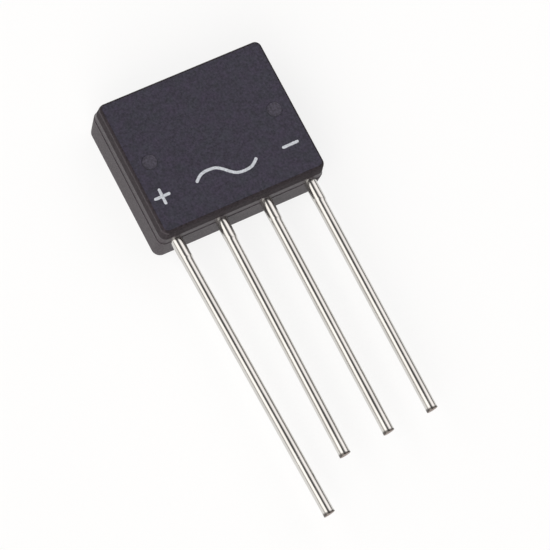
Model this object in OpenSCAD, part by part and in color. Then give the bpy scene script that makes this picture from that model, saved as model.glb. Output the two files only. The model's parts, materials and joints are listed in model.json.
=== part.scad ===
// Single-in-line bridge rectifier with four round wire leads.
// The moulded body lies on its back face with the marked face up. X runs across the body, from the
// plus lead to the minus lead, and the leads point along -Y. The origin is the centre of the back face.

/* [Moulded body] */
// Width across the lead row, at the parting line
body_w = 18.8; // [18.6:0.1:24]
// Height from the lead face to the top face, at the parting line
body_h = 15.4; // [14.6:0.1:20]
// Thickness from the back face to the marked face
body_t = 6.4; // [6:0.1:9]
// Height of the parting line above the back face, which is also the height of the lead axes
parting_z = 3.85; // [2.5:0.05:4.1]
// Radius of the four upright corners at the parting line
corner_r = 1.25; // [1.1:0.05:1.8]
// How far the sides of the front half lean in on their way to the marked face
front_draft = 0.18; // [0:0.02:0.3]
// How far the sides of the back half lean in on their way to the back face
back_draft = 0.18; // [0:0.02:0.3]
// Radius of the edge round the marked face
front_edge_r = 0.7; // [0.2:0.05:0.9]
// Radius of the edge round the back face
back_edge_r = 0.25; // [0.1:0.05:0.5]
// Ledge where the front mould half is a little smaller than the back one
parting_step = 0.05; // [0.02:0.01:0.1]

/* [Ejector marks] */
// Diameter of each ejector pin mark in the marked face
ejector_d = 1.6; // [1:0.1:2.4]
// Depth of the marks
ejector_depth = 0.06; // [0.02:0.01:0.2]
// Distance of each mark from the middle of the face
ejector_x = 7.08; // [5:0.02:7.1]

/* [Leads] */
// Distance between neighbouring leads
lead_pitch = 5.08; // [4.9:0.02:5.1]
// Diameter of the wire
lead_d = 1.22; // [0.9:0.02:1.3]
// Diameter of the thicker root of each lead
root_d = 1.34; // [1.32:0.02:1.5]
// Length of the root outside the body
root_len = 2.3; // [1.5:0.1:4]
// Length of the cone that joins root and wire
root_taper = 0.6; // [0.55:0.05:1.5]
// Length of the plus lead below the body
plus_lead_len = 31.4; // [20:0.1:40]
// Length of the left alternating current lead below the body
ac_left_len = 26.8; // [18:0.1:40]
// Length of the right alternating current lead below the body
ac_right_len = 26.6; // [18:0.1:40]
// Length of the minus lead below the body
minus_lead_len = 26.4; // [18:0.1:40]
// Angle at which the plus lead leans towards the others, in degrees
plus_lean = 1.6; // [0.2:0.1:3]
// Radius of the bend that makes the plus lead lean
bend_r = 12; // [6:1:30]
// Straight stretch of the plus lead between the body and its bend
bend_gap = 0.3; // [0.1:0.1:0.8]

/* [Paddles inside the body] */
// Thickness to which the inner end of each wire is pressed
paddle_t = 0.7; // [0.5:0.05:0.9]
// Width of the two paddles that carry the dies
die_paddle_w = 4; // [3.6:0.1:4.2]
// Width of the two outer paddles
outer_paddle_w = 1.8; // [1.5:0.1:2]
// Length of round wire between the lead face and the shoulder
root_embed = 2; // [1.5:0.1:2.2]
// Length of the shoulder where the round wire spreads into its paddle
shoulder_len = 1.2; // [0.8:0.1:1.4]
// Paddle left beyond the die or strap that it carries
paddle_margin = 0.6; // [0.4:0.1:0.8]
// Corner radius of the paddles
paddle_corner_r = 0.3; // [0.1:0.05:0.4]

/* [Dies, straps and solder] */
// Side of each square diode die
die_side = 2.6; // [2:0.1:2.7]
// Thickness of a die
die_t = 0.28; // [0.2:0.02:0.36]
// Height of the stepped mesa on a die's anode face
mesa_h = 0.1; // [0.05:0.01:0.14]
// Width of the step round the mesa
mesa_step = 0.2; // [0.1:0.05:0.35]
// Distance between the two rows of dies
row_pitch = 5; // [4.4:0.1:5.4]
// Height of the middle of the two rows above the middle of the body
row_mid = 0.4; // [0.2:0.1:0.8]
// Thickness of every solder joint
solder_t = 0.08; // [0.04:0.01:0.12]
// Width of the two bus straps
strap_w = 2.2; // [1.8:0.1:2.4]
// Thickness of the strap strip
strap_t = 0.4; // [0.25:0.05:0.5]
// Diameter of the dimple that stands on each die
dimple_d = 1.5; // [1:0.1:1.6]
// Height of the dimple below the strap
dimple_h = 0.12; // [0.06:0.02:0.2]
// Strap left beyond the middle of its last die
strap_overhang = 1.3; // [1:0.1:1.6]
// Length of the sloping step between a strap and its foot
joggle_len = 0.5; // [0.3:0.05:0.6]
// Bare solder edge left round a joint
solder_margin = 0.15; // [0.05:0.05:0.25]

/* [Hidden] */
$fn = 64;

// Segments of the rounded shapes inside a hull
hull_fn = 32;
// Thickness of the slices that a hull joins
slice = 0.02;

// Lead axes, from left to right
plus_x = -1.5 * lead_pitch;
ac_left_x = -0.5 * lead_pitch;
ac_right_x = 0.5 * lead_pitch;
minus_x = 1.5 * lead_pitch;

// Heights and places in the body
lead_z = parting_z;
lead_face_y = -body_h / 2;
shoulder_y = lead_face_y + root_embed;
paddle_y = shoulder_y + shoulder_len;
upper_row_y = row_mid + row_pitch / 2;
lower_row_y = row_mid - row_pitch / 2;

// Layers above the paddles
paddle_top_z = lead_z + paddle_t / 2;
die_z = paddle_top_z + solder_t;
die_top_z = die_z + die_t;
dimple_z = die_top_z + solder_t;
strap_z = dimple_z + dimple_h;
foot_z = paddle_top_z + solder_t;

// Upper ends of the paddles
die_paddle_top = upper_row_y + die_side / 2 + paddle_margin;
plus_paddle_top = upper_row_y + strap_w / 2 + paddle_margin;
minus_paddle_top = lower_row_y + strap_w / 2 + paddle_margin;

// A strap's foot is as wide as the paddle under it, and the step rises from the foot's inner edge
foot_len = outer_paddle_w;

// The edge of the marked face is a ring inside each corner, so the corner limits it
front_ring_r = min(front_edge_r, corner_r - parting_step - front_draft - slice);
back_ring_r = min(back_edge_r, corner_r - back_draft - slice);

// Puts a copy of the children at each corner of a rectangle
module at_corners(half_w, half_h) {
    for (side = [-1, 1], end = [-1, 1]) {
        translate([side * half_w, end * half_h, 0]) children();
    }
}

// Disc of the given reach from its axis, with a round rim, resting on z = 0
module rim(reach, rim_r) {
    translate([0, 0, rim_r]) {
        rotate_extrude($fn = hull_fn) {
            intersection() {
                translate([reach - rim_r, 0]) circle(r = rim_r);
                translate([0, -rim_r]) square([reach, 2 * rim_r]);
            }
        }
    }
}

// The half of the body that stands above the parting line
module front_half() {
    half_w = body_w / 2 - corner_r;
    half_h = body_h / 2 - corner_r;
    hull() {
        translate([0, 0, parting_z - slice]) {
            at_corners(half_w, half_h) cylinder(r = corner_r - parting_step, h = slice, $fn = hull_fn);
        }
        translate([0, 0, body_t - 2 * front_ring_r]) {
            at_corners(half_w, half_h) rim(corner_r - parting_step - front_draft, front_ring_r);
        }
    }
}

// The half of the body below the parting line, down to the back face
module back_half() {
    half_w = body_w / 2 - corner_r;
    half_h = body_h / 2 - corner_r;
    hull() {
        translate([0, 0, parting_z - slice]) {
            at_corners(half_w, half_h) cylinder(r = corner_r, h = slice, $fn = hull_fn);
        }
        at_corners(half_w, half_h) rim(corner_r - back_draft, back_ring_r);
    }
}

// Round flat hollows left by the two ejector pins
module ejector_marks() {
    for (side = [-1, 1]) {
        translate([side * ejector_x, 0, body_t - ejector_depth]) {
            cylinder(d = ejector_d, h = 2 * ejector_depth);
        }
    }
}

// Flat plate with round corners, from z = 0 up
module round_plate(w, h, t, r) {
    linear_extrude(t) {
        square([w - 2 * r, h], center = true);
        square([w, h - 2 * r], center = true);
        at_corners(w / 2 - r, h / 2 - r) circle(r = r);
    }
}

// Cylinder along -Y from the origin
module bar(d, len) {
    rotate([90, 0, 0]) cylinder(d = d, h = len);
}

// The lead outside its bend: the rest of the root, the cone and the wire
module wire(root, len) {
    bar(root_d, root);
    translate([0, -root, 0]) rotate([90, 0, 0]) cylinder(d1 = root_d, d2 = lead_d, h = root_taper);
    translate([0, -root - root_taper, 0]) bar(lead_d, len - root - root_taper);
}

// A whole lead: paddle, shoulder, embedded root and the wire outside the body
module lead(x, paddle_w, paddle_top, len) {
    translate([x, 0, lead_z]) {
        translate([0, (paddle_y + paddle_top) / 2, -paddle_t / 2]) {
            round_plate(paddle_w, paddle_top - paddle_y, paddle_t, paddle_corner_r);
        }
        hull() {
            translate([0, shoulder_y + slice, 0]) rotate([90, 0, 0]) {
                cylinder(d = root_d, h = slice, $fn = hull_fn);
            }
            translate([0, paddle_y + paddle_corner_r + slice / 2, 0]) {
                cube([paddle_w, slice, paddle_t], center = true);
            }
        }
        translate([0, shoulder_y, 0]) bar(root_d, root_embed);
        translate([0, lead_face_y, 0]) children();
    }
}

// A lead that runs straight out of the body
module straight_lead(x, paddle_w, paddle_top, len) {
    lead(x, paddle_w, paddle_top, len) wire(root_len, len);
}

// A lead that turns through an angle close to the body
module leaning_lead(x, paddle_w, paddle_top, len, lean) {
    arc_len = bend_r * lean * PI / 180;
    lead(x, paddle_w, paddle_top, len) {
        bar(root_d, bend_gap);
        translate([bend_r, -bend_gap, 0]) {
            rotate([0, 0, 180]) rotate_extrude(angle = lean) {
                translate([bend_r, 0]) circle(d = root_d);
            }
            rotate([0, 0, lean]) translate([-bend_r, 0, 0]) {
                wire(root_len - bend_gap - arc_len, len - bend_gap - arc_len);
            }
        }
    }
}

// Bent strip from a foot at foot_x to the far end at end_x, with a dimple over each die.
// It is drawn with its foot on the left; turn = -1 puts the foot on the right.
module strap(y, foot_x, far_die_x, near_die_x, turn) {
    foot_start = turn * foot_x - foot_len / 2;
    foot_end = foot_start + foot_len;
    rise_end = foot_end + joggle_len;
    strip_end = turn * far_die_x + strap_overhang;
    side = [
        [foot_start, foot_z],
        [foot_end, foot_z],
        [rise_end, strap_z],
        [strip_end, strap_z],
        [strip_end, strap_z + strap_t],
        [rise_end, strap_z + strap_t],
        [foot_end, foot_z + strap_t],
        [foot_start, foot_z + strap_t]
    ];
    difference() {
        union() {
            translate([0, y + strap_w / 2, 0]) rotate([90, 0, 0]) linear_extrude(strap_w) {
                polygon([for (p = side) [turn * p.x, p.y]]);
            }
            for (x = [near_die_x, far_die_x]) {
                translate([x, y, dimple_z]) cylinder(d = dimple_d, h = dimple_h + strap_t / 2);
            }
        }
        for (x = [near_die_x, far_die_x]) {
            translate([x, y, strap_z + strap_t - dimple_h]) {
                cylinder(d = dimple_d - strap_t, h = 2 * dimple_h);
            }
        }
    }
}

// Square diode die with a stepped mesa on its anode face
module die(x, y, anode_up) {
    base_z = anode_up ? 0 : mesa_h;
    translate([x, y, die_z]) {
        translate([0, 0, base_z + (die_t - mesa_h) / 2]) {
            cube([die_side, die_side, die_t - mesa_h], center = true);
        }
        translate([0, 0, die_t / 2]) {
            cube([die_side - 2 * mesa_step, die_side - 2 * mesa_step, die_t], center = true);
        }
    }
}

// Square solder layer between a paddle and a die
module base_solder(x, y) {
    side = die_side - 2 * mesa_step - 2 * solder_margin;
    translate([x, y, paddle_top_z + solder_t / 2]) cube([side, side, solder_t], center = true);
}

// Round solder layer between a die and the dimple of a strap
module top_solder(x, y) {
    translate([x, y, die_top_z]) cylinder(d = dimple_d, h = solder_t);
}

// Solder layer between an outer paddle and the foot of a strap
module foot_solder(x, y) {
    w = foot_len - 2 * solder_margin;
    h = strap_w - 2 * solder_margin;
    translate([x, y, paddle_top_z + solder_t / 2]) cube([w, h, solder_t], center = true);
}

module plus_lead() {
    color("silver") leaning_lead(plus_x, outer_paddle_w, plus_paddle_top, plus_lead_len, plus_lean);
}

module ac_lead_left() {
    color("silver") straight_lead(ac_left_x, die_paddle_w, die_paddle_top, ac_left_len);
}

module ac_lead_right() {
    color("silver") straight_lead(ac_right_x, die_paddle_w, die_paddle_top, ac_right_len);
}

module minus_lead() {
    color("silver") straight_lead(minus_x, outer_paddle_w, minus_paddle_top, minus_lead_len);
}

module plus_strap() {
    color("peru") strap(upper_row_y, plus_x, ac_right_x, ac_left_x, 1);
}

module minus_strap() {
    color("peru") strap(lower_row_y, minus_x, ac_left_x, ac_right_x, -1);
}

module plus_die_left() {
    color("slategray") die(ac_left_x, upper_row_y, false);
}

module plus_die_right() {
    color("slategray") die(ac_right_x, upper_row_y, false);
}

module minus_die_left() {
    color("slategray") die(ac_left_x, lower_row_y, true);
}

module minus_die_right() {
    color("slategray") die(ac_right_x, lower_row_y, true);
}

module plus_die_left_base_solder() {
    color("lightgray") base_solder(ac_left_x, upper_row_y);
}

module plus_die_right_base_solder() {
    color("lightgray") base_solder(ac_right_x, upper_row_y);
}

module minus_die_left_base_solder() {
    color("lightgray") base_solder(ac_left_x, lower_row_y);
}

module minus_die_right_base_solder() {
    color("lightgray") base_solder(ac_right_x, lower_row_y);
}

module plus_die_left_top_solder() {
    color("lightgray") top_solder(ac_left_x, upper_row_y);
}

module plus_die_right_top_solder() {
    color("lightgray") top_solder(ac_right_x, upper_row_y);
}

module minus_die_left_top_solder() {
    color("lightgray") top_solder(ac_left_x, lower_row_y);
}

module minus_die_right_top_solder() {
    color("lightgray") top_solder(ac_right_x, lower_row_y);
}

module plus_foot_solder() {
    color("lightgray") foot_solder(plus_x, upper_row_y);
}

module minus_foot_solder() {
    color("lightgray") foot_solder(minus_x, lower_row_y);
}

// Everything that the moulding compound flows round
module inner_pieces() {
    plus_lead();
    ac_lead_left();
    ac_lead_right();
    minus_lead();
    plus_strap();
    minus_strap();
    plus_die_left();
    plus_die_right();
    minus_die_left();
    minus_die_right();
    plus_die_left_base_solder();
    plus_die_right_base_solder();
    minus_die_left_base_solder();
    minus_die_right_base_solder();
    plus_die_left_top_solder();
    plus_die_right_top_solder();
    minus_die_left_top_solder();
    minus_die_right_top_solder();
    plus_foot_solder();
    minus_foot_solder();
}

module moulded_body() {
    color([0.24, 0.23, 0.26]) difference() {
        union() {
            front_half();
            back_half();
        }
        ejector_marks();
        inner_pieces();
    }
}

moulded_body();
plus_lead();
ac_lead_left();
ac_lead_right();
minus_lead();
plus_strap();
minus_strap();
plus_die_left();
plus_die_right();
minus_die_left();
minus_die_right();
plus_die_left_base_solder();
plus_die_right_base_solder();
minus_die_left_base_solder();
minus_die_right_base_solder();
plus_die_left_top_solder();
plus_die_right_top_solder();
minus_die_left_top_solder();
minus_die_right_top_solder();
plus_foot_solder();
minus_foot_solder();
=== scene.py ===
"""Dresses the packed bridge rectifier and sets a studio round it.

The moulded body, the four wire leads and the printed polarity marks are made here as smooth surfaces.
The dies, straps and solder joints inside the body keep their packed shapes and get their finishes.
Lengths are in metres, in the frame of the packed part: X across the lead row, leads along -Y, Z out of
the marked face.
"""

import json
import math
from types import SimpleNamespace

import bpy
import numpy as np
from bpy.props import FloatProperty, FloatVectorProperty, IntProperty, PointerProperty
from mathutils import Euler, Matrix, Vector


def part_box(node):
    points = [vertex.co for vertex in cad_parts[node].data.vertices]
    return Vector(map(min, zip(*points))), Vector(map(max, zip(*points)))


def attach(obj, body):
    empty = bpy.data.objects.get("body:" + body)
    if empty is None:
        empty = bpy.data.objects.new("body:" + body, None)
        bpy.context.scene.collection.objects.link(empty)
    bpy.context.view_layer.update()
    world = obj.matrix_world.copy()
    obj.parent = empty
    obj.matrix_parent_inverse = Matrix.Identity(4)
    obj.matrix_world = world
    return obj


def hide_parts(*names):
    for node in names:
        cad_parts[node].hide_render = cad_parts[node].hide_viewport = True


bl_info = {
    "name": "Bridge Rectifier Dressing",
    "version": (1, 0, 0),
    "blender": (4, 5, 0),
    "location": "3D View > Sidebar > Rectifier",
    "description": "Makes the body, wire leads, polarity marks and stage of an in-line bridge rectifier",
    "category": "Object",
}

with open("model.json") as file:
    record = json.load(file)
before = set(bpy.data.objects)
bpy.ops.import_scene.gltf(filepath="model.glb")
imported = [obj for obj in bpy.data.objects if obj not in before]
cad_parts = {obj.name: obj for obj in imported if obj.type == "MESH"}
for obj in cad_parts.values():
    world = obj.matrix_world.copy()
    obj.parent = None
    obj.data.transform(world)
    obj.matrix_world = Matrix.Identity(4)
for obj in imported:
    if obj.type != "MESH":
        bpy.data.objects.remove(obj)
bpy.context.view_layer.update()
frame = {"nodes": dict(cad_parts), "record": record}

MM = 0.001

BODY_LO, BODY_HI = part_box("moulded_body")
PINS = {m["name"]: m for m in frame["record"]["mounts"] if m["kind"] == "pin"}
LEADS = {
    "plus_lead": "plus_pin",
    "ac_lead_left": "ac_left_pin",
    "ac_lead_right": "ac_right_pin",
    "minus_lead": "minus_pin",
}
PARTING_Z = PINS["minus_pin"]["pos_m"][2]


# Sizes and colours ----------------------------------------------------------------------------------


def length(name, description, default):
    """A length in metres."""
    return FloatProperty(
        name=name, description=description, default=default, precision=6, unit="LENGTH"
    )


def colour(name, description, default):
    """A linear colour."""
    return FloatVectorProperty(
        name=name, description=description, default=default, size=3, subtype="COLOR", min=0, max=1
    )


def share(name, description, default):
    """A number from 0 to 1."""
    return FloatProperty(
        name=name, description=description, default=default, min=0, max=1, subtype="FACTOR"
    )


def angle(name, description, degrees):
    """An angle, given in degrees."""
    return FloatProperty(
        name=name, description=description, default=math.radians(degrees), subtype="ANGLE"
    )


class BodySettings(bpy.types.PropertyGroup):
    """The moulded body."""

    corner_radius: length("Corner radius", "Radius of the upright corners", 0.8 * MM)
    back_corner: length("Back corner", "How much rounder the corners are at the back face", 0.12 * MM)
    front_edge: length("Front edge", "Width of the rounded edge at the marked face", 0.33 * MM)
    front_fall: length("Front fall", "Height of the rounded edge at the marked face", 0.8 * MM)
    back_edge: length("Back edge", "Radius of the edge round the back face", 0.28 * MM)
    draft: length("Draft", "How far the front half leans in towards its face", 0.12 * MM)
    back_draft: length("Back draft", "How far the back half leans in towards its face", 0.07 * MM)
    ledge: length("Ledge", "Ledge at the parting line", 0.05 * MM)
    ledge_wave: length("Ledge wave", "Unevenness of the parting line", 0.012 * MM)
    mark_radius: length("Ejector radius", "Radius of the ejector marks", 0.77 * MM)
    mark_depth: length("Ejector depth", "Depth of the ejector marks", 0.1 * MM)
    mark_x: length("Ejector place", "Distance of the ejector marks from the middle", 7.08 * MM)
    rim_height: length("Rim height", "Height at which the duller rim begins", 4.72 * MM)
    # The line on the left of the rim is lighter as well as glossier: a painted highlight.
    rim_highlight_height: length("Rim line", "Height of the faint glossier line on the left of the rim", 6.05 * MM)
    compound: colour("Compound", "Colour of the moulding compound", (0.033, 0.0265, 0.0475))
    compound_cloud: colour("Clouds", "Colour of the clouds in the compound", (0.0285, 0.0285, 0.042))
    # Painted light: the walls are a browner copy of the compound, standing in for warm light reflected
    # from below.
    wall_painted_warm_light: colour("Walls", "Colour of the compound on the side walls", (0.0365, 0.0285, 0.034))
    mark_compound: colour("Pressed", "Colour inside the ejector marks", (0.051, 0.0465, 0.066))
    # Painted shade: how bright the colour stays in the dark ring on each mark's lip.
    lip_shade: share("Lip shade", "How bright the skin stays on the lip of an ejector mark", 0.42)
    grain: share("Grain", "How uneven the compound's colour is from fleck to fleck", 0.42)
    roughness: share("Roughness", "Roughness of the moulded skin", 0.36)
    dull_roughness: share("Dull roughness", "Roughness where the skin is dullest", 0.85)
    gloss: share("Gloss", "Strength of the skin's mirror reflection", 0.3)
    dull_gloss: share("Dull gloss", "Strength of the mirror reflection where the skin is dullest", 0.2)
    back_dull: share("Back dullness", "How dull the skin of the back half is", 0.32)
    rim_dull: share("Rim dullness", "How dull the skin is round the marked face's edge", 0.92)
    # Painted shade: this darkens the colour of the dull rim.
    rim_shade: share("Rim shade", "How dark the dull rim is, as a share of the lip's darkness", 0.6)


class LeadSettings(bpy.types.PropertyGroup):
    """The four leads."""

    root_radius: length("Root radius", "Radius of the thicker root", 0.66 * MM)
    root_length: length("Root length", "Length of the root outside the body", 1.98 * MM)
    root_step: length("Root step", "Length of the step from root to wire", 0.4 * MM)
    root_slant: length("Root slant", "How much later the step comes on one side", 0.16 * MM)
    root_embed: length("Embedded root", "Length of the root inside the body", 2.0 * MM)
    shoulder: length("Shoulder", "Length over which the wire spreads into its paddle", 1.2 * MM)
    paddle_thickness: length("Paddle thickness", "Thickness of the pressed inner end", 0.7 * MM)
    paddle_corner: length("Paddle corner", "Corner radius of the paddles", 0.3 * MM)
    bend_radius: length("Bend radius", "Radius of the bend of the leaning lead", 12.0 * MM)
    bend_gap: length("Bend gap", "Straight stretch before the bend", 0.3 * MM)
    cut_slope: angle("Cut slope", "Slope of the sheared tips", 5)
    cut_stain: length("Cut stain", "Length of the stained ring at the tips", 0.3 * MM)
    tin: colour("Tin", "Colour of the tinned wire", (0.69, 0.675, 0.647))
    cut_metal: colour("Cut metal", "Colour of the sheared ends", (0.3, 0.24, 0.215))
    cut_edge: colour("Cut edge", "Colour of the stained ring at the tips", (0.04, 0.031, 0.026))
    roughness: share("Roughness", "Roughness of the tin", 0.14)


class MarkSettings(bpy.types.PropertyGroup):
    """The printed polarity marks."""

    stroke: length("Stroke", "Width of the printed strokes", 0.31 * MM)
    ink_height: length("Ink height", "How far the ink stands on the face", 0.012 * MM)
    ink_sink: length("Ink sink", "How far the ink reaches into the skin", 0.02 * MM)
    arm: length("Plus arm", "Reach of the arms of the plus", 0.9 * MM)
    plus_x: length("Plus X", "Middle of the plus", -7.56 * MM)
    plus_y: length("Plus Y", "Middle of the plus", -3.76 * MM)
    minus_x: length("Minus X", "Middle of the minus", 6.81 * MM)
    minus_y: length("Minus Y", "Middle of the minus", -4.03 * MM)
    minus_length: length("Minus length", "Length of the minus", 1.9 * MM)
    wave_x: length("Wave X", "Middle of the wave", -0.39 * MM)
    wave_y: length("Wave Y", "Middle of the wave", -3.87 * MM)
    wave_length: length("Wave length", "Length of the wave, from end to end", 6.78 * MM)
    wave_height: length("Wave height", "Height of the wave's crest", 0.765 * MM)
    ink: colour("Ink", "Colour of the printed ink", (0.54, 0.57, 0.62))


class StageSettings(bpy.types.PropertyGroup):
    """The floor, light and camera."""

    floor_size: length("Floor size", "Side of the floor", 6.0)
    floor_colour: colour("Floor", "Colour of the floor", (0.93, 0.925, 0.915))
    floor_white: share("Floor white", "How much of the floor's view is plain white", 0.8)
    camera_place: FloatVectorProperty(
        name="Camera place",
        description="Where the camera stands",
        default=(-88.84 * MM, -79.72 * MM, 277.42 * MM),
        size=3,
        subtype="TRANSLATION",
        unit="LENGTH",
    )
    camera_turn: FloatVectorProperty(
        name="Camera turn",
        description="Turn of the camera",
        default=(math.radians(19.51), math.radians(-10.03), math.radians(-27.7)),
        size=3,
        subtype="EULER",
    )
    lens: FloatProperty(
        name="Lens", description="Focal length on a 36 mm sensor", default=194.24, unit="CAMERA"
    )
    seed: IntProperty(name="Seed", description="Seed of the small unevenness", default=7, min=0)


# Surfaces -------------------------------------------------------------------------------------------

# The body's grid: lines across a corner, the step of the straight stretches, and rings in an edge's arc.
CORNER_LINES = 8
GRID_STEP = 0.55 * MM
ARC_LINES = 13
# Rings of the back half, in shares: of the parting line's height, of the lean, and of the growth of
# the corners. Then rings of the rim, in shares of the height over which it turns dull, and the lean.
BACK_RINGS = ((0.3, 0.7, 0.7), (0.6, 0.4, 0.3))
RIM_RINGS = ((0, 0.5), (0.5, 0.57), (1, 0.64))
# The ejector marks, in shares of their radius: the grid lines round the middle, where the circles turn
# back into the square grid, the sunk wall, and the middle and spread of the painted shade on the lip.
MARK_LINES = (0, 0.25, 0.5, 0.75, 0.9, 0.955, 0.98, 1.0, 1.03, 1.1, 1.3)
MARK_BEND = (1.05, 1.29)
MARK_WALL = (0.965, 1.015)
MARK_LIP_SHADE = (1.03, 0.035)
# The parting line: the size of its rounded lip, the wavelengths of its unevenness, and how far up and
# down the wall that reaches.
LEDGE_LIP = 0.008 * MM
LEDGE_WAVES = (6 * MM, 2.3 * MM, 1.1 * MM)
LEDGE_REACH = 0.1 * MM
# The rim: the height over which it turns dull and is painted darker, a painted shade, and how far the
# glossier line on its left spreads and how strong it is. That line is lighter as well as glossier: a
# painted highlight.
RIM_FADE = 0.22 * MM
RIM_HIGHLIGHT_SPREAD = 0.11 * MM
RIM_HIGHLIGHT_STRENGTH = 0.85

# Points round a lead's section, and the squareness of its paddle.
LEAD_LINES = 56
PADDLE_SQUARENESS = 9
# How many rings a lead has in each stretch: two at the tip, the wire, the root's step, the rest of the
# root outside the body, and its embedded part. Then how far the stretches at the tip and the step go.
LEAD_ROWS = (5, 6, 90, 26, 8, 3)
TIP_STRETCHES = (0.06 * MM, 0.5 * MM)
STEP_MARGIN = 0.1 * MM
SPREAD_ROWS = 7
# The wavelengths and sizes of the wire's wear: in its radius, and in three flats round it.
WEAR_WAVES = (7.3 * MM, 3.1 * MM, 1.7 * MM)
WEAR_SIZE = 0.004 * MM
FLAT_WAVES = (23 * MM, 11 * MM)
FLAT_SIZE = 0.003 * MM
# The cut at the tip: the length and depth of its rounding, how far the rings lean with its slope, the
# width of the sheared ring, and how much longer and shorter the stain is on its two sides.
TIP_ROUND = 0.05 * MM
TIP_FALL = 0.035 * MM
CUT_REACH = 1.2 * MM
CUT_RING = 0.02 * MM
STAIN_LEAN = 0.45
# The fine groove round the root's step.
GROOVE_DEPTH = 0.003 * MM
GROOVE_SPREAD = 0.05 * MM
# How far the root's middle moves to one side, in shares of its extra thickness, and where inside the
# body that begins and where it is whole.
ROOT_SIDE = 0.45
ROOT_SIDE_START = (-0.6 * MM, -0.1 * MM)

# The printed strokes: the step along them, the wavelengths and the size of their uneven sides as a share
# of the half width, and the lines across a round end.
STROKE_STEP = 0.06 * MM
STROKE_WAVES = (0.9 * MM, 0.41 * MM, 0.23 * MM)
STROKE_WAVE = 0.1
STROKE_END_LINES = 9
# The section of a printed stroke: shares of its half width and of its height. At -1 it is in the skin.
STROKE_SECTION = (
    (-1, -1), (-1, 0.5), (-0.94, 0.86), (-0.84, 1), (0.84, 1), (0.94, 0.86), (1, 0.5), (1, -1),
)
# How far a straight stroke stands askew, and how much higher the ink is on the stroke that lies on top.
STROKE_ASKEW = 0.02 * MM
OVERLAP_RISE = 1.15
# The share of the third harmonic in the printed wave, which makes its middle steeper.
WAVE_FULLNESS = 0.08
WAVE_POINTS = 121

# Keeps a division by zero away.
TINY = 1e-9


def smooth(x, start=0, stop=1):
    """The curve 3u^2 - 2u^3, where u goes from 0 at start to 1 at stop and is held beyond them."""
    u = np.clip((x - start) / (stop - start), 0, 1)
    return u * u * (3 - 2 * u)


def bell(x, middle, spread):
    """The bell curve exp(-((x - middle) / spread)^2)."""
    return np.exp(-(((x - middle) / spread) ** 2))


def corner_fall(x):
    """How far a round corner falls in: a quarter circle, from 1 at x = 0 to 0 from x = 1 on."""
    return 1 - np.sqrt(1 - (1 - np.clip(x, 0, 1)) ** 2)


def disc(p, q):
    """A square from -1 to 1 moved onto a disc: p sqrt(1 - q^2 / 2) and q sqrt(1 - p^2 / 2)."""
    return np.stack([p * np.sqrt(1 - q**2 / 2), q * np.sqrt(1 - p**2 / 2)])


def steps(stops, counts):
    """Places from the first stop to the last, each stretch between two stops cut into equal steps."""
    stretches = zip(stops[:-1], stops[1:], counts, strict=True)
    runs = [np.linspace(start, stop, count, endpoint=False) for start, stop, count in stretches]
    return np.concatenate([*runs, [stops[-1]]])


def distances(path):
    """The distance along a path of points, from 0 at its first point."""
    return np.concatenate([[0], np.cumsum(np.linalg.norm(np.diff(path, axis=0), axis=1))])


def ripple(s, rng, waves, size):
    """A smooth wave along s: a sum of sines of the given wavelengths, each with a random phase."""
    phases = rng.uniform(0, 2 * math.pi, len(waves))
    parts = [np.sin(2 * math.pi * s / w + p) for w, p in zip(waves, phases, strict=True)]
    return size * sum(parts) / len(parts)


def grid_faces(index):
    """Quads between neighbours of a 2-D array of vertex numbers, wound from axis 0 to axis 1."""
    a, b, c, d = index[:-1, :-1], index[1:, :-1], index[1:, 1:], index[:-1, 1:]
    return np.stack([a, b, c, d], -1).reshape(-1, 4)


def tube_faces(rows, ring):
    """Quads of a tube of rings, closed round each ring, with a cap on the first and the last ring."""
    index = np.arange(rows * ring).reshape(rows, ring)
    wrapped = np.concatenate([index, index[:, :1]], 1)
    return [*grid_faces(wrapped).tolist(), index[0].tolist(), index[-1][::-1].tolist()]


def mesh_piece(name, points, faces, material, **attributes):
    """A smooth shaded object from points and faces, turned right side out, with per-vertex attributes.

    Six times the volume is the sum of a . (b x c) over a fan of triangles on each face. Where it is
    negative, every face is turned round.
    """
    points = np.asarray(points, float).reshape(-1, 3)
    fans = [(f[0], f[k], f[k + 1]) for f in faces for k in range(1, len(f) - 1)]
    a, b, c = (points[np.array(fans)[:, k]] for k in range(3))
    if np.einsum("ij,ij->i", a, np.cross(b, c)).sum() < 0:
        faces = [list(f)[::-1] for f in faces]
    mesh = bpy.data.meshes.new(name)
    mesh.from_pydata(points.tolist(), [], [list(map(int, f)) for f in faces])
    for key, values in attributes.items():
        values = np.asarray(values, np.float32)
        kind, slot = ("FLOAT_VECTOR", "vector") if values.shape[-1:] == (3,) else ("FLOAT", "value")
        mesh.attributes.new(key, kind, "POINT").data.foreach_set(slot, values.ravel())
    mesh.polygons.foreach_set("use_smooth", np.ones(len(mesh.polygons), bool))
    mesh.materials.append(material)
    mesh.update()
    if mesh.validate():
        raise RuntimeError(f"{name} has faces that are not sound")
    piece = bpy.data.objects.new(name, mesh)
    bpy.context.scene.collection.objects.link(piece)
    return piece


def plan_lines(reach, corner, marks, radius):
    """Grid lines across the body: arrays of the straight part's place and of the share of the corner.

    The lines run from one side to the other. In a corner the place stays at the end of the straight
    part and the share is the sine of equal steps of a quarter turn, up to 1. Round each mark the lines
    are close together.
    """
    inner = reach - corner
    near = radius * np.array(MARK_LINES)
    stops = np.concatenate([m + np.concatenate([-near[:0:-1], near]) for m in marks])
    edges = np.array([-inner, *stops, inner])
    counts = np.maximum(1, np.round(np.diff(edges) / GRID_STEP).astype(int))
    straight = steps(edges, counts)
    share_of_corner = np.sin(np.linspace(0, math.pi / 2, CORNER_LINES + 1)[1:])
    base = np.concatenate([np.full(CORNER_LINES, -inner), straight, np.full(CORNER_LINES, inner)])
    part = np.concatenate([-share_of_corner[::-1], np.zeros(len(straight)), share_of_corner])
    return base, part


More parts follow.
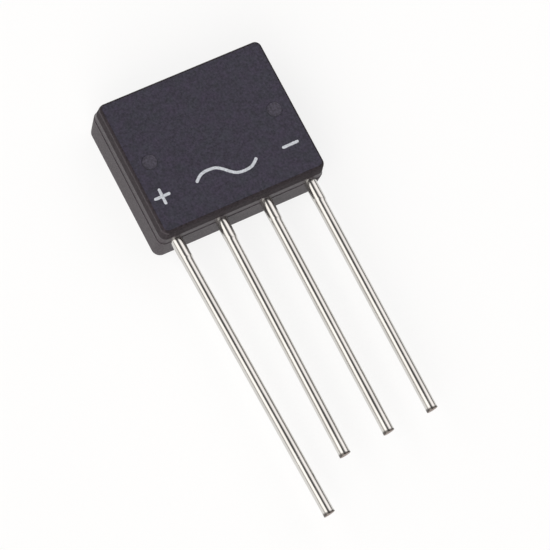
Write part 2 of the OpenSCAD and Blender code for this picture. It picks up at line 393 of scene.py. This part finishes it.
def body_layers(s):
    """A function that gives a layer of points across the body, and the shape of the layer's grid.

    The grid covers the plan. In each corner a square of it becomes a quarter disc, times the corner
    radius, and the wall's lean moves the middles of the corners in.
    """
    base_x, part_x = plan_lines(BODY_HI.x, s.corner_radius, (-s.mark_x, s.mark_x), s.mark_radius)
    base_y, part_y = plan_lines(BODY_HI.y, s.corner_radius, (0.0,), s.mark_radius)
    straight = np.stack(np.meshgrid(base_x, base_y, indexing="ij"))
    corner = disc(*np.meshgrid(part_x, part_y, indexing="ij"))
    inner = np.array([BODY_HI.x, BODY_HI.y])[:, None, None] - s.corner_radius

    def layer(height, lean, radius):
        """The grid's points at a height, for how far the wall leans in and the corner radius."""
        x, y = np.clip(straight, lean - inner, inner - lean) + radius * corner
        return np.stack([x, y, np.full_like(x, height)], -1).reshape(-1, 3)

    return layer, corner.shape[1:]


def wall_levels(s):
    """Height, lean and corner radius of each ring of the body, from the back face to the marked face.

    The back edge is a quarter circle and the front edge a quarter ellipse. Below the parting line the
    corners grow rounder towards the back face, and above it the outline is smaller by the ledge, whose
    outer side is a small rounded lip.
    """
    quarter = np.linspace(0, math.pi / 2, ARC_LINES)
    r, lip = s.corner_radius, LEDGE_LIP
    front_r = r - s.ledge
    back_arc = [
        (
            s.back_edge * (1 - math.cos(turn)),
            s.back_draft + s.back_corner,
            r + s.back_corner - s.back_edge * (1 - math.sin(turn)),
        )
        for turn in quarter
    ]
    back_half = [
        (PARTING_Z * up, s.back_draft * lean + s.back_corner * growth, r + s.back_corner * growth)
        for up, lean, growth in BACK_RINGS
    ]
    ledge = [
        (PARTING_Z - 4 * lip, s.back_draft * 0.01, r),
        (PARTING_Z - lip, 0.0, r),
        (PARTING_Z - 0.3 * lip, 0.0, r - 0.3 * lip),
        (PARTING_Z, 0.0, r - lip),
        (PARTING_Z, 0.0, front_r + 0.6 * lip),
        (PARTING_Z + 0.5 * lip, 0.0, front_r),
        (PARTING_Z + 4 * lip, s.draft * 0.01, front_r),
    ]
    rim = [(s.rim_height + RIM_FADE * up, s.draft * lean, front_r) for up, lean in RIM_RINGS]
    front_arc = [
        (
            BODY_HI.z - s.front_fall * (1 - math.sin(turn)),
            s.draft,
            front_r - s.front_edge * (1 - math.cos(turn)),
        )
        for turn in quarter
    ]
    return [*back_arc, *back_half, *ledge, *rim, *front_arc]


def press_marks(front, s):
    """Presses the ejector marks into the marked face's points and returns the pressed attribute.

    Round each mark a square of the grid becomes concentric circles, as in the corners, and the points
    inside the mark's radius go down by its depth. The attribute is 1 inside a mark, falls to -1 on the
    lip round it, where it paints shade, and is 0 elsewhere.
    """
    pressed = np.zeros(len(front))
    for mark_x in (-s.mark_x, s.mark_x):
        centre = np.array([mark_x, 0.0])
        offset = front[:, :2] - centre
        square = np.abs(offset).max(1)
        unit = offset / np.maximum(square, TINY)[:, None]
        circle = square[:, None] * disc(*unit.T).T
        pull = 1 - smooth(square / s.mark_radius, *MARK_BEND)
        near = square < MARK_LINES[-1] * s.mark_radius
        moved = centre + offset + pull[:, None] * (circle - offset)
        front[near, :2] = moved[near]
        away = np.linalg.norm(front[:, :2] - centre, axis=1) / s.mark_radius
        pressed = np.where(near, 1 - smooth(away, *MARK_WALL), pressed)
        # Painted shade: a dark ring on the lip round each mark.
        pressed -= np.where(near, bell(away, *MARK_LIP_SHADE), 0) * (pressed <= 0.5)
    front[:, 2] -= s.mark_depth * np.maximum(pressed, 0)
    return pressed


def wall_dullness(height, left, s):
    """How dull the skin is on a ring of the wall, from 0 to 1.

    The back half is dull all over. The front half turns dull at the rim, where the same value later paints
    shade into the colour, apart from a bell-shaped glossier line on the left side, a painted highlight.
    """
    if height <= PARTING_Z:
        return np.full(len(left), s.back_dull)
    rim = s.rim_dull * smooth(height, s.rim_height, s.rim_height + RIM_FADE)
    return rim * (1 - RIM_HIGHLIGHT_STRENGTH * bell(height, s.rim_highlight_height, RIM_HIGHLIGHT_SPREAD) * left)


def body_surface(s, rng):
    """Points, faces and the pressed, dull and wall attributes of the moulded body, one closed surface.

    The two faces are whole grids, and the wall between them is a ring of the grid's outline at each
    level. A smooth random wave lifts and lowers the rings near the parting line. On the wall the wall
    attribute is 1, and in its front half the pressed attribute is minus the rim's shade times dull, a
    painted shade on the rim.
    """
    layer, shape = body_layers(s)
    levels = wall_levels(s)
    number = np.arange(math.prod(shape)).reshape(shape)
    edge = np.concatenate([number[:-1, 0], number[-1, :-1], number[:0:-1, -1], number[0, :0:-1]])
    back, front = layer(*levels[0]), layer(*levels[-1])
    face_pressed_and_shade = press_marks(front, s)
    front_dull = np.zeros(len(front))
    front_dull[edge] = s.rim_dull

    wave = ripple(distances(front[edge, :2]), rng, LEDGE_WAVES, s.ledge_wave)
    rings, ring_painted_shade, ring_dull = [], [], []
    for height, lean, radius in levels[1:-1]:
        ring = layer(height, lean, radius)[edge]
        ring[:, 2] += wave * bell(height, PARTING_Z, LEDGE_REACH)
        left = ring[:, 0] < s.corner_radius - BODY_HI.x
        dull = wall_dullness(height, left, s)
        rings.append(ring)
        ring_dull.append(dull)
        # Painted shade: the front half's colour darkens as far as it is dull, so the rim is painted darker
        # and the glossier line on its left is painted lighter.
        ring_painted_shade.append(-s.rim_shade * dull * (height > PARTING_Z))

    points = np.concatenate([back, front, *rings])
    ring_numbers = 2 * len(back) + np.arange(len(rings) * len(edge)).reshape(len(rings), len(edge))
    index = np.concatenate([edge[None], ring_numbers, edge[None] + len(back)])
    index = np.concatenate([index, index[:, :1]], 1)
    cover = grid_faces(number)
    faces = np.concatenate([cover[:, ::-1], cover + len(back), grid_faces(index.T)])
    skin = {
        "pressed": np.concatenate([np.zeros(len(back)), face_pressed_and_shade, *ring_painted_shade]),
        "dull": np.concatenate([np.full(len(back), s.back_dull), front_dull, *ring_dull]),
        "wall": np.concatenate([np.zeros(len(back) + len(front)), np.ones(len(rings) * len(edge))]),
    }
    return points, faces.tolist(), skin


def lead_run(node, s):
    """Where one lead runs, and how thick its wire and how wide its paddle is.

    X is where it leaves the body, and its tip and its paddle's end are distances out of the body. A
    straight lead stands at its pin's X and ends at its box. A leaning lead is traced back from the
    middle of its pin, along the pin's axis to the end of the bend, and round the bend to the root.
    """
    pin = PINS[LEADS[node]]
    lo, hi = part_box(node)
    lean = math.atan2(pin["axis"][0], -pin["axis"][1])
    x = pin["pos_m"][0]
    tip = BODY_LO.y - lo.y
    half_paddle = (hi.x - lo.x) / 2
    if not math.isclose(lean, 0, abs_tol=1e-6):
        half_pin = pin["dims"]["length_mm"] * MM / 2
        middle = np.array(pin["pos_m"][:2]) + np.array(pin["axis"][:2]) * half_pin
        bend_y = BODY_LO.y - s.bend_gap - s.bend_radius * math.sin(lean)
        past_bend = (bend_y - middle[1]) / math.cos(lean)
        x = middle[0] - past_bend * math.sin(lean) - s.bend_radius * (1 - math.cos(lean))
        tip = s.bend_gap + s.bend_radius * lean + past_bend
        half_paddle = x - lo.x
    return SimpleNamespace(
        x=x,
        lean=lean,
        tip=tip,
        paddle_end=BODY_LO.y - hi.y,
        radius=pin["dims"]["r_mm"] * MM,
        half_paddle=half_paddle,
    )


def lead_rows(run, s):
    """Distances out of the body of a lead's rings, from its tip to the end of its paddle, as a column.

    They are close together at the tip and at the root's step. At the rounded end of the paddle they
    follow one minus the cosine of equal steps of a quarter turn.
    """
    root_end = -s.root_embed
    step_end = s.root_length + s.root_step + s.root_slant + STEP_MARGIN
    step_start = s.root_length - 2 * s.root_slant
    tip_stops = (run.tip - stretch for stretch in TIP_STRETCHES)
    stops = (run.tip, *tip_stops, step_end, step_start, 0, root_end)
    spread = np.linspace(root_end, root_end - s.shoulder, SPREAD_ROWS)[1:]
    quarter = np.linspace(math.pi / 2, 0, SPREAD_ROWS)
    rounded = run.paddle_end + s.paddle_corner * (1 - np.cos(quarter))
    return np.concatenate([steps(stops, LEAD_ROWS), spread, rounded])[:, None]


def lead_section(run, rows, t, s, rng):
    """How far across and up each point of a lead lies from its axis.

    With t round the section and n its squareness, a point is across = a sgn(cos t) |cos t|^(2/n) and
    up = b sgn(sin t) |sin t|^(2/n): n = 2 is the round wire, n = 9 the flat paddle. The root is thicker
    on one side, and its step to the wire, with a fine groove in it, comes later there. The wire is worn
    by small smooth waves, and its tip is rounded.
    """
    root_end = -s.root_embed
    flat = smooth(rows, root_end, root_end - s.shoulder)
    squareness = 2 + (PADDLE_SQUARENESS - 2) * flat
    thicker = s.root_radius - run.radius
    along = rows - s.root_slant * np.cos(t)
    step = smooth(along, s.root_length + s.root_step, s.root_length)
    groove = bell(along, s.root_length + s.root_step / 2, GROOVE_SPREAD)
    worn = ripple(rows, rng, WEAR_WAVES, WEAR_SIZE)
    flats = ripple(rows, rng, FLAT_WAVES, FLAT_SIZE) * np.cos(3 * t + rng.uniform(0, 6))
    tip_round = TIP_FALL * corner_fall((run.tip - rows) / TIP_ROUND)
    radius = run.radius + thicker * step - GROOVE_DEPTH * groove
    radius = radius + (worn + flats) * (rows > 0) - tip_round
    end_fall = s.paddle_corner * corner_fall((rows - run.paddle_end) / s.paddle_corner)
    a = radius + (run.half_paddle - end_fall - radius) * flat
    b = radius + (s.paddle_thickness / 2 - radius) * flat
    across = a * np.sign(np.cos(t)) * np.abs(np.cos(t)) ** (2 / squareness)
    up = b * np.sign(np.sin(t)) * np.abs(np.sin(t)) ** (2 / squareness)
    side = ROOT_SIDE * thicker * step * smooth(rows, *ROOT_SIDE_START) * (1 - flat)
    return across + side, up


def lead_surface(node, s, rng):
    """Points, faces, wrap and stain attributes of one lead, from its sheared tip to its paddle's end.

    A section is carried along the lead's axis, which is straight or turns by the pin's lean along an
    arc. The tip is cut along a slope. The wrap attribute is the point on an unworn wire. The stain grows
    from 0 to a half towards the tip, over a longer stretch on one side, and to 1 at the cut.
    """
    run = lead_run(node, s)
    rows = lead_rows(run, s)
    t = np.linspace(0, 2 * math.pi, LEAD_LINES, endpoint=False)[None] - math.pi / 2
    across, up = lead_section(run, rows, t, s, rng)
    to_tip = run.tip - rows

    cut = np.clip(1 - to_tip / CUT_REACH, 0, 1) ** 2
    down = rows - cut * (math.tan(s.cut_slope) * (across + run.radius))
    bend = s.bend_radius * run.lean
    turn = np.clip((down - s.bend_gap) / max(bend, TINY), 0, 1) * run.lean
    before = np.minimum(down, s.bend_gap)
    after = np.maximum(down - s.bend_gap - bend, 0)
    x = run.x + s.bend_radius * (1 - np.cos(turn)) + after * np.sin(turn) + across * np.cos(turn)
    out = before + s.bend_radius * np.sin(turn) + after * np.cos(turn) - across * np.sin(turn)
    points = np.stack([x, BODY_LO.y - out, PARTING_Z + up], -1)

    reach = s.cut_stain * (1 - STAIN_LEAN * np.cos(t))
    wrap = np.broadcast_arrays(run.radius * np.cos(t), run.radius * np.sin(t), rows)
    wrap = np.stack(wrap, -1).reshape(-1, 3)
    stain = (smooth(to_tip, reach, reach / 2) + smooth(to_tip, CUT_RING, 0)) / 2
    return points.reshape(-1, 3), tube_faces(*x.shape), wrap, stain.ravel()


def plus_paths(s):
    """The two straight strokes of the plus, a little askew."""
    x, y, arm = s.plus_x, s.plus_y, s.arm
    return [(x - arm, y), (x + arm, y + STROKE_ASKEW)], [(x, y - arm), (x + STROKE_ASKEW, y + arm)]


def minus_path(s):
    """The straight stroke of the minus, a little askew."""
    x, y, half = s.minus_x, s.minus_y, s.minus_length / 2
    return [(x - half, y - STROKE_ASKEW / 2), (x + half, y + STROKE_ASKEW)]


def wave_path(s):
    """The wave: its height times -(sin u + f sin 3u) / (1 - f) over one turn, with f its fullness."""
    turn = np.linspace(-math.pi, math.pi, WAVE_POINTS)
    fall = (np.sin(turn) + WAVE_FULLNESS * np.sin(3 * turn)) / (1 - WAVE_FULLNESS)
    x = s.wave_x + turn / math.pi * s.wave_length / 2
    return np.stack([x, s.wave_y - s.wave_height * fall], -1)


def stroke_surface(path, s, rng, rise=1.0):
    """Points and faces of one printed stroke, a flat bead with round ends that follows a path in XY.

    The half width w is half the stroke, times sqrt(1 - (1 - d / w)^2) at a distance d under w from an
    end, and at least a hundredth of it. A smooth random wave makes each side uneven. The rise lifts a
    stroke that lies over another.
    """
    path = np.asarray(path)
    along = distances(path)
    w = s.stroke / 2
    total = along[-1]
    ends = w * (1 - np.cos(np.linspace(0, math.pi / 2, STROKE_END_LINES)))
    count = max(4, int((total - 2 * w) / STROKE_STEP))
    stations = np.concatenate([ends, np.linspace(w, total - w, count)[1:-1], total - ends[::-1]])
    centre = np.stack([np.interp(stations, along, path[:, k]) for k in range(2)], -1)
    tangent = np.gradient(centre, stations, axis=0)
    tangent /= np.linalg.norm(tangent, axis=1, keepdims=True)
    side = np.stack([-tangent[:, 1], tangent[:, 0]], -1)
    near_end = np.clip(np.minimum(stations, total - stations) / w, 0, 1)
    width = w * np.sqrt(np.maximum(1 - (1 - near_end) ** 2, 1e-4))
    left = width * (1 + ripple(stations, rng, STROKE_WAVES, STROKE_WAVE))
    right = width * (1 + ripple(stations, rng, STROKE_WAVES, STROKE_WAVE))
    ring = np.array(STROKE_SECTION)
    reach = np.where(ring[None, :, 0] < 0, left[:, None], right[:, None]) * ring[None, :, 0]
    height = np.where(ring[:, 1] < 0, -s.ink_sink, ring[:, 1] * s.ink_height * rise)
    xy = centre[:, None] + side[:, None] * reach[..., None]
    z = np.broadcast_to(BODY_HI.z + height, xy.shape[:2])
    points = np.concatenate([xy, z[..., None]], -1)
    return points.reshape(-1, 3), tube_faces(len(stations), len(ring))


def joined(parts):
    """One list of points and faces out of several."""
    points, faces, start = [], [], 0
    for p, f in parts:
        points.append(p)
        faces += [[v + start for v in face] for face in f]
        start += len(p)
    return np.concatenate(points), faces


# Finishes -------------------------------------------------------------------------------------------


def add_node(tree, kind, inputs=None, **settings):
    """A new node. inputs maps a socket's name or number to a value or to another node's socket."""
    made = tree.nodes.new(kind)
    for key, value in settings.items():
        setattr(made, key, value)
    for key, value in (inputs or {}).items():
        if isinstance(value, bpy.types.NodeSocket):
            tree.links.new(value, made.inputs[key])
        else:
            made.inputs[key].default_value = value
    return made


class Finish:
    """A material as a list of steps: each step adds a node and links it to what it names."""

    def __init__(self, name, **shader):
        self.material = bpy.data.materials.new(name)
        self.material.use_nodes = True
        self.tree = self.material.node_tree
        self.shader = self.tree.nodes["Principled BSDF"]
        for key, value in shader.items():
            self.shader.inputs[key.capitalize()].default_value = value

    def node(self, kind, inputs=None, **settings):
        """A new node in the material."""
        return add_node(self.tree, kind, inputs, **settings)

    def link(self, source, name):
        """Links a socket to the shader."""
        self.tree.links.new(source, self.shader.inputs[name])

    def place(self):
        """The place on the object."""
        return self.node("ShaderNodeTexCoord").outputs["Object"]

    def attribute(self, name, output="Fac"):
        """A value that the surface carries at each point."""
        return self.node("ShaderNodeAttribute", attribute_name=name).outputs[output]

    def noise(self, vector, scale, detail=2.0, stretch=(1, 1, 1)):
        """Noise from 0 to 1 on a vector, whose axes may be stretched."""
        placed = self.node("ShaderNodeMapping", {"Vector": vector, "Scale": stretch})
        made = self.node(
            "ShaderNodeTexNoise", {"Vector": placed.outputs[0], "Scale": scale, "Detail": detail}
        )
        return made.outputs["Fac"]

    def spread(self, value, low, high, start=0.3, stop=0.7):
        """The value from start to stop, spread from low to high."""
        made = self.node(
            "ShaderNodeMapRange",
            {"Value": value, "From Min": start, "From Max": stop, "To Min": low, "To Max": high},
        )
        return made.outputs[0]

    def mix(self, factor, first, second, **settings):
        """A colour between two colours, each of them a value or another node's socket."""
        ends = {"A": first, "B": second}
        for key, value in ends.items():
            if not isinstance(value, bpy.types.NodeSocket):
                ends[key] = (*value, 1)
        made = self.node("ShaderNodeMix", {"Factor": factor, **ends}, data_type="RGBA", **settings)
        return made.outputs["Result"]

    def math(self, operation, first, second):
        """A sum, product or the like of two values."""
        return self.node("ShaderNodeMath", {0: first, 1: second}, operation=operation).outputs[0]

    def bump(self, height, depth):
        """Links to the shader a bump of that depth in metres on a height from 0 to 1."""
        made = self.node("ShaderNodeBump", {"Height": height, "Distance": depth, "Strength": 1.0})
        self.link(made.outputs[0], "Normal")


def tinted(base, factor):
    """The colour times a factor, held within 0 to 1."""
    return tuple(min(1.0, c * factor) for c in base)


def compound_finish(s):
    """Dark moulding compound: clouds in two tints, a browner wall that is painted warm light, paler
    pressed marks and a grain.

    Small flecks make the colour lighter and darker. Where the pressed attribute falls below 0 the skin
    is painted darker, a painted shade on the lip of each mark and on the rim, and where the dull
    attribute rises it is rougher and its mirror reflection weaker.
    """
    f = Finish("moulding_compound")
    place = f.place()
    grain = f.noise(place, scale=7000, detail=3)
    flecks = f.noise(place, scale=4600, detail=4)
    clouds = f.noise(place, scale=900, detail=3)
    pressed = f.attribute("pressed")
    dull = f.attribute("dull")
    skin = f.mix(f.spread(clouds, 0, 1), s.compound, s.compound_cloud)
    # Painted light: the walls' browner tint stands in for warm light reflected from below.
    skin = f.mix(f.attribute("wall"), skin, s.wall_painted_warm_light)
    skin = f.mix(f.spread(pressed, 0, 1, start=0, stop=1), skin, s.mark_compound)
    # Painted shade: below 0 the pressed attribute darkens the colour, on each mark's lip and on the rim.
    shade = f.spread(pressed, s.lip_shade, 1, start=-1, stop=0)
    level = f.math("MULTIPLY", f.spread(flecks, 1 - s.grain, 1 + s.grain), shade)
    levels = f.node("ShaderNodeCombineColor", {key: level for key in range(3)})
    f.link(f.mix(1.0, skin, levels.outputs[0], blend_type="MULTIPLY"), "Base Color")
    f.link(f.spread(dull, s.gloss, s.dull_gloss, start=0, stop=1), "Specular IOR Level")
    shine = f.spread(grain, s.roughness - 0.05, s.roughness + 0.05)
    roughness = f.node("ShaderNodeMix", {"Factor": dull, "A": shine, "B": s.dull_roughness})
    f.link(roughness.outputs[0], "Roughness")
    f.bump(grain, 0.05 * MM)
    return f.material


def tin_finish(s):
    """Drawn tinned wire: streaks along the wire, faint smears, a stained ring and a brown sheared end.

    The tint passes from the tin to the stained ring as the stain attribute rises to a half, and on to
    the cut metal as it rises to 1.
    """
    f = Finish("tinned_wire", metallic=1.0)
    wrap = f.attribute("wrap", "Vector")
    stain = f.attribute("stain")
    streaks = f.noise(wrap, scale=5200, stretch=(1, 1, 0.03))
    smears = f.noise(wrap, scale=900, detail=3, stretch=(1, 1, 0.25))
    tin = f.mix(f.spread(smears, 0, 1), tinted(s.tin, 0.9), tinted(s.tin, 1.05))
    ringed = f.mix(f.spread(stain, 0, 0.85, start=0, stop=0.5), tin, s.cut_edge)
    f.link(f.mix(f.spread(stain, 0, 1, start=0.5, stop=1), ringed, s.cut_metal), "Base Color")
    shine = f.spread(smears, s.roughness - 0.04, s.roughness + 0.07)
    torn = f.node("ShaderNodeMix", {"Factor": stain, "A": shine, "B": 0.5})
    f.link(torn.outputs[0], "Roughness")
    f.bump(streaks, 0.004 * MM)
    return f.material


def ink_finish(s):
    """Pale marking ink, a little thin in places."""
    f = Finish("marking_ink", roughness=0.6)
    thin = f.noise(f.place(), scale=5200)
    f.link(f.mix(f.spread(thin, 0, 1), tinted(s.ink, 0.8), tinted(s.ink, 1.1)), "Base Color")
    f.bump(thin, 0.006 * MM)
    return f.material


def plain_finish(slot, metallic, roughness, scale, depth):
    """A hidden piece's finish: the packed record's colour of its slot, with a fine grain."""
    base = next(m["base_color"] for m in frame["record"]["materials"] if m["slot"] == slot)
    f = Finish(slot, metallic=metallic, roughness=roughness)
    grain = f.noise(f.place(), scale=scale, detail=3)
    f.link(f.mix(f.spread(grain, 0, 1), tinted(base, 0.85), tinted(base, 1.1)), "Base Color")
    f.bump(grain, depth)
    return f.material


def floor_finish(s):
    """A pale matt floor with faint clouds, nearly plain white to the camera, in metal and in glass."""
    f = Finish("studio_floor", roughness=1.0)
    f.shader.inputs["Specular IOR Level"].default_value = 0.0
    faint = f.noise(f.place(), scale=12)
    f.link(f.mix(f.spread(faint, 0, 1), tinted(s.floor_colour, 0.995), s.floor_colour), "Base Color")
    ray = f.node("ShaderNodeLightPath").outputs
    seen = f.math("MAXIMUM", ray["Is Camera Ray"], ray["Is Glossy Ray"])
    seen = f.math("MAXIMUM", seen, ray["Is Transmission Ray"])
    part = f.math("MULTIPLY", seen, s.floor_white)
    white = f.node("ShaderNodeEmission", {"Color": (1, 1, 1, 1), "Strength": 1.0})
    mixed = f.node("ShaderNodeMixShader", {0: part, 1: f.shader.outputs[0], 2: white.outputs[0]})
    f.tree.links.new(mixed.outputs[0], f.tree.nodes["Material Output"].inputs["Surface"])
    return f.material


# Stage ----------------------------------------------------------------------------------------------

FLOOR_SQUARES = 8
FLOOR_GAP = 0.02 * MM
SENSOR_WIDTH = 36
NEAREST_VIEW = 0.01
WARM, COOL = (1.0, 0.975, 0.94), (1.0, 0.985, 0.98)
ROOM = (0.1, 0.098, 0.1)
# The softboxes run along the leads. Each stop is an angle in degrees, from straight up towards +X, and
# a level. Between the two softboxes the room stays dark.
LEFT_SOFTBOX = (
    (-90, 0.25), (-79, 0.45), (-66, 1.4), (-42, 1.56), (-33, 1.36), (-27, 0.4), (-23, 0), (90, 0),
)
RIGHT_SOFTBOX = (
    (-90, 0), (0, 0), (8, 0.35), (16, 1.05), (26, 1.29), (46, 1.31), (56, 0.8), (65, 0.35), (76, 0.06),
    (90, 0.04),
)
# The right softbox along its length: the Y of the direction, and a share of its level.
RIGHT_ENDS = ((-1, 0), (-0.35, 0.05), (-0.05, 1), (0.7, 1), (0.95, 0.3), (1, 0.3))
# The round key light: the cosine of the angle from its middle, and a level.
KEY_LIGHT = ((0, 0), (0.84, 0), (0.93, 2.6), (1, 2.8))
KEY_WAY = (-0.52, -0.62, 0.59)


def make_floor(s):
    """A flat sheet of equal squares just under the back face."""
    lines = np.linspace(-s.floor_size / 2, s.floor_size / 2, FLOOR_SQUARES + 1)
    x, y = np.meshgrid(lines, lines, indexing="ij")
    points = np.stack([x, y, np.full_like(x, -FLOOR_GAP)], -1).reshape(-1, 3)
    mesh = bpy.data.meshes.new("studio_floor")
    mesh.from_pydata(points.tolist(), [], grid_faces(np.arange(x.size).reshape(x.shape)).tolist())
    mesh.materials.append(floor_finish(s))
    sheet = bpy.data.objects.new("studio_floor", mesh)
    bpy.context.scene.collection.objects.link(sheet)


def make_studio(scene):
    """A world whose brightness changes across the lead row.

    The angle from straight up towards +X picks the light: a long warm softbox on the left, a dark
    opening round the camera, and a softbox on the right that ends in front of the body. A round key
    light stands in front on the left, and the room adds a faint even light.
    """
    scene.world = bpy.data.worlds.new("studio")
    scene.world.use_nodes = True
    tree = scene.world.node_tree

    def math_node(operation, first, second):
        """A sum, product or the like of two values."""
        return add_node(tree, "ShaderNodeMath", {0: first, 1: second}, operation=operation).outputs[0]

    def vector(operation, inputs):
        """The outputs of a step on vectors."""
        return add_node(tree, "ShaderNodeVectorMath", inputs, operation=operation).outputs

    def light(value, stops, tint):
        """The tint at a level that follows the stops, straight from one to the next."""
        low, high = stops[0][0], stops[-1][0]
        top = max(level for _, level in stops)
        ends = {"From Min": low, "From Max": high}
        place = add_node(tree, "ShaderNodeMapRange", {"Value": value, **ends})
        made = add_node(tree, "ShaderNodeValToRGB", {0: place.outputs[0]})
        elements = made.color_ramp.elements
        elements.remove(elements[-1])
        for number, (stop, level) in enumerate(stops):
            position = (stop - low) / (high - low)
            element = elements.new(position) if number else elements[0]
            element.position = position
            element.color = (*(level / top * c for c in tint), 1)
        return vector("SCALE", {0: made.outputs["Color"], "Scale": top})[0]

    direction = tree.nodes.new("ShaderNodeTexCoord").outputs["Generated"]
    split = add_node(tree, "ShaderNodeSeparateXYZ", {0: direction}).outputs
    turn = math_node("ARCTAN2", split["X"], split["Z"])
    degrees = math_node("MULTIPLY", turn, 180 / math.pi)
    left = light(degrees, LEFT_SOFTBOX, WARM)
    right = light(degrees, RIGHT_SOFTBOX, COOL)
    right = vector("MULTIPLY", {0: right, 1: light(split["Y"], RIGHT_ENDS, COOL)})[0]
    facing = vector("DOT_PRODUCT", {0: direction, 1: Vector(KEY_WAY).normalized()})
    total = vector("ADD", {0: left, 1: right})[0]
    total = vector("ADD", {0: total, 1: light(facing["Value"], KEY_LIGHT, WARM)})[0]
    total = vector("ADD", {0: total, 1: ROOM})[0]
    tree.links.new(total, tree.nodes["Background"].inputs["Color"])


# Operators ------------------------------------------------------------------------------------------

# What the leads and the marks add to the seed.
FIRST_LEAD_SEED, MARKS_SEED = 10, 20


class RECTIFIER_OT_moulded_body(bpy.types.Operator):
    """Makes the moulded body with its parting line, ejector marks and compound finish"""

    bl_idname = "rectifier.moulded_body"
    bl_label = "Moulded Body"

    def execute(self, context):
        s = context.scene.rectifier_body
        rng = np.random.default_rng(context.scene.rectifier_stage.seed)
        points, faces, skin = body_surface(s, rng)
        piece = mesh_piece("body_moulding", points, faces, compound_finish(s), **skin)
        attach(piece, "root")
        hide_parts("moulded_body")
        return {"FINISHED"}


class RECTIFIER_OT_wire_leads(bpy.types.Operator):
    """Makes the four tinned leads, each from its sheared tip to its paddle inside the body"""

    bl_idname = "rectifier.wire_leads"
    bl_label = "Wire Leads"

    def execute(self, context):
        s = context.scene.rectifier_leads
        tin = tin_finish(s)
        for number, node in enumerate(LEADS):
            rng = np.random.default_rng(context.scene.rectifier_stage.seed + FIRST_LEAD_SEED + number)
            points, faces, wrap, stain = lead_surface(node, s, rng)
            piece = mesh_piece(f"{node}_wire", points, faces, tin, wrap=wrap, stain=stain)
            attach(piece, "root")
            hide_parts(node)
        return {"FINISHED"}


class RECTIFIER_OT_polarity_marks(bpy.types.Operator):
    """Prints the plus, wave and minus marks on the front face"""

    bl_idname = "rectifier.polarity_marks"
    bl_label = "Polarity Marks"

    def execute(self, context):
        s = context.scene.rectifier_marks
        rng = np.random.default_rng(context.scene.rectifier_stage.seed + MARKS_SEED)
        ink = ink_finish(s)
        across, upright = plus_paths(s)
        plus = [stroke_surface(across, s, rng), stroke_surface(upright, s, rng, OVERLAP_RISE)]
        marks = {
            "plus_mark": joined(plus),
            "wave_mark": stroke_surface(wave_path(s), s, rng),
            "minus_mark": stroke_surface(minus_path(s), s, rng),
        }
        for name, (points, faces) in marks.items():
            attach(mesh_piece(name, points, faces, ink), "root")
        return {"FINISHED"}


class RECTIFIER_OT_inner_pieces(bpy.types.Operator):
    """Gives every packed piece its finish: the body, the leads, and the straps, dies and solder"""

    bl_idname = "rectifier.inner_pieces"
    bl_label = "Inner Pieces"

    def execute(self, context):
        copper = plain_finish("strap_copper", metallic=1.0, roughness=0.32, scale=2500, depth=0.003 * MM)
        silicon = plain_finish("silicon", metallic=0.3, roughness=0.35, scale=4000, depth=0.001 * MM)
        solder = plain_finish("solder", metallic=1.0, roughness=0.42, scale=1800, depth=0.006 * MM)
        for name, node in frame["nodes"].items():
            if name == "moulded_body":
                finish = bpy.data.materials["moulding_compound"]
            elif name in LEADS:
                finish = bpy.data.materials["tinned_wire"]
            elif name.endswith("_strap"):
                finish = copper
            elif name.endswith("_solder"):
                finish = solder
            else:
                finish = silicon
            node.data.materials.clear()
            node.data.materials.append(finish)
        return {"FINISHED"}


class RECTIFIER_OT_stage(bpy.types.Operator):
    """Sets the pale floor, the soft studio light and the camera"""

    bl_idname = "rectifier.stage"
    bl_label = "Stage"

    def execute(self, context):
        s = context.scene.rectifier_stage
        make_floor(s)
        make_studio(context.scene)
        camera = bpy.data.objects.new("camera", bpy.data.cameras.new("camera"))
        context.scene.collection.objects.link(camera)
        camera.location = s.camera_place
        camera.rotation_euler = Euler(s.camera_turn)
        camera.data.sensor_width = SENSOR_WIDTH
        camera.data.lens = s.lens
        camera.data.clip_start = NEAREST_VIEW
        context.scene.camera = camera
        context.scene.view_settings.view_transform = "Standard"
        return {"FINISHED"}


class RECTIFIER_PT_panel(bpy.types.Panel):
    """Lists the pieces in the order in which they are made"""

    bl_idname = "RECTIFIER_PT_panel"
    bl_label = "Bridge Rectifier"
    bl_space_type = "VIEW_3D"
    bl_region_type = "UI"
    bl_category = "Rectifier"

    def draw(self, context):
        for operator in OPERATORS:
            self.layout.operator(operator.bl_idname)
        for name, group in SETTINGS.items():
            box = self.layout.box()
            box.label(text=group.__doc__)
            for key in group.__annotations__:
                box.prop(getattr(context.scene, name), key)


OPERATORS = (
    RECTIFIER_OT_moulded_body,
    RECTIFIER_OT_wire_leads,
    RECTIFIER_OT_polarity_marks,
    RECTIFIER_OT_inner_pieces,
    RECTIFIER_OT_stage,
)
SETTINGS = {
    "rectifier_body": BodySettings,
    "rectifier_leads": LeadSettings,
    "rectifier_marks": MarkSettings,
    "rectifier_stage": StageSettings,
}


def register():
    """Registers the settings, the operators and the panel."""
    for cls in (*SETTINGS.values(), *OPERATORS, RECTIFIER_PT_panel):
        bpy.utils.register_class(cls)
    for name, group in SETTINGS.items():
        setattr(bpy.types.Scene, name, PointerProperty(type=group))


def unregister():
    """Takes away what register added."""
    for name in SETTINGS:
        delattr(bpy.types.Scene, name)
    for cls in (RECTIFIER_PT_panel, *reversed(OPERATORS), *reversed(SETTINGS.values())):
        bpy.utils.unregister_class(cls)


def main():
    register()
    bpy.ops.rectifier.moulded_body()
    bpy.ops.rectifier.wire_leads()
    bpy.ops.rectifier.polarity_marks()
    bpy.ops.rectifier.inner_pieces()
    bpy.ops.rectifier.stage()


if __name__ == "__main__":
    main()
